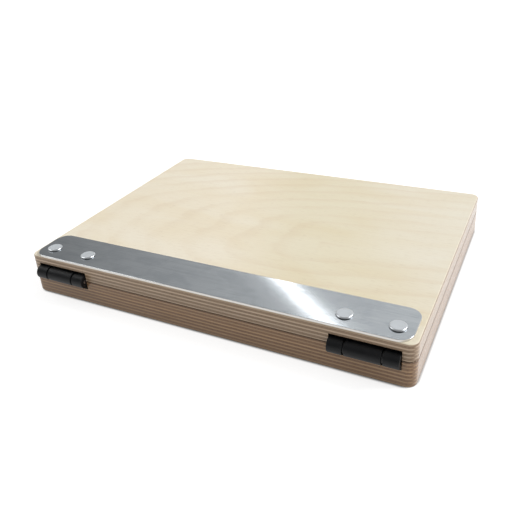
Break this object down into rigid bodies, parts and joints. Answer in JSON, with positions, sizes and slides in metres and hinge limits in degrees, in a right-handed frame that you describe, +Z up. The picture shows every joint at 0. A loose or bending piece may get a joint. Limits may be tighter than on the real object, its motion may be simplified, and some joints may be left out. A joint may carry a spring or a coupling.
{
  "type": "pochade box",
  "caption": "Slim clamshell plywood pochade box: lid on black friction hinges bolted under a bare metal plate, routed wells with a palette, and a magnetic panel holder in the lid.",
  "frame": {"origin": "middle of the footprint, hinge barrels included, on the surface the shut box lies on", "axes": "+X along the hinge edge, +Y from the hinge edge to the opening edge, +Z up through the lid"},
  "size_m": [0.284, 0.2162, 0.0327],
  "materials": {
    "birch_plywood": "fine-sanded, clear matt oil, layered plywood edges",
    "plate_aluminium": "fine satin, brushed along the plate",
    "post_aluminium": "turned, satin",
    "black_hinge": "black semi-matt coating",
    "shaft_steel": "ground",
    "spring_steel": "blued spring steel",
    "washer_nylon": "black nylon",
    "screw_steel": "black oxide",
    "brass": "plain turned brass",
    "magnet_nickel": "nickel plated",
    "palette_grey": "smooth neutral grey acrylic",
    "strip_steel": "plain mild steel strip",
    "ledge_aluminium": "anodised, satin"
  },
  "bodies": {
    "base": {"base_board": "birch_plywood", "base_hinge_leaf_left": "black_hinge", "base_hinge_leaf_right": "black_hinge", "hinge_shaft_left": "shaft_steel", "hinge_shaft_right": "shaft_steel", "hinge_washers_left": "washer_nylon", "hinge_washers_right": "washer_nylon", "base_leaf_screws": "screw_steel", "base_posts": "post_aluminium", "tripod_insert": "brass", "base_magnets": "magnet_nickel", "mixing_palette": "palette_grey"},
    "lid": {"lid_board": "birch_plywood", "hinge_plate": "plate_aluminium", "lid_hinge_leaf_left": "black_hinge", "lid_hinge_leaf_right": "black_hinge", "friction_clips_left": "spring_steel", "friction_clips_right": "spring_steel", "lid_leaf_screws": "screw_steel", "lid_posts": "post_aluminium", "lid_magnets": "magnet_nickel", "steel_strip_left": "strip_steel", "steel_strip_right": "strip_steel"},
    "lower_ledge": {"lower_ledge": "ledge_aluminium", "lower_ledge_magnets": "magnet_nickel"},
    "upper_ledge": {"upper_ledge": "ledge_aluminium", "upper_ledge_magnets": "magnet_nickel"}
  },
  "joints": [
    {"name": "lid_hinge", "type": "hinge", "parent": "base", "child": "lid", "pos_m": [0, -0.10312, 0.018], "axis": [1, 0, 0], "range_deg": [0, 180]},
    {"name": "lower_ledge_slide", "type": "slide", "parent": "lid", "child": "lower_ledge", "axis": [0, 1, 0], "range_m": [0, 0.058]},
    {"name": "upper_ledge_slide", "type": "slide", "parent": "lid", "child": "upper_ledge", "axis": [0, -1, 0], "range_m": [0, 0.076]}
  ]
}
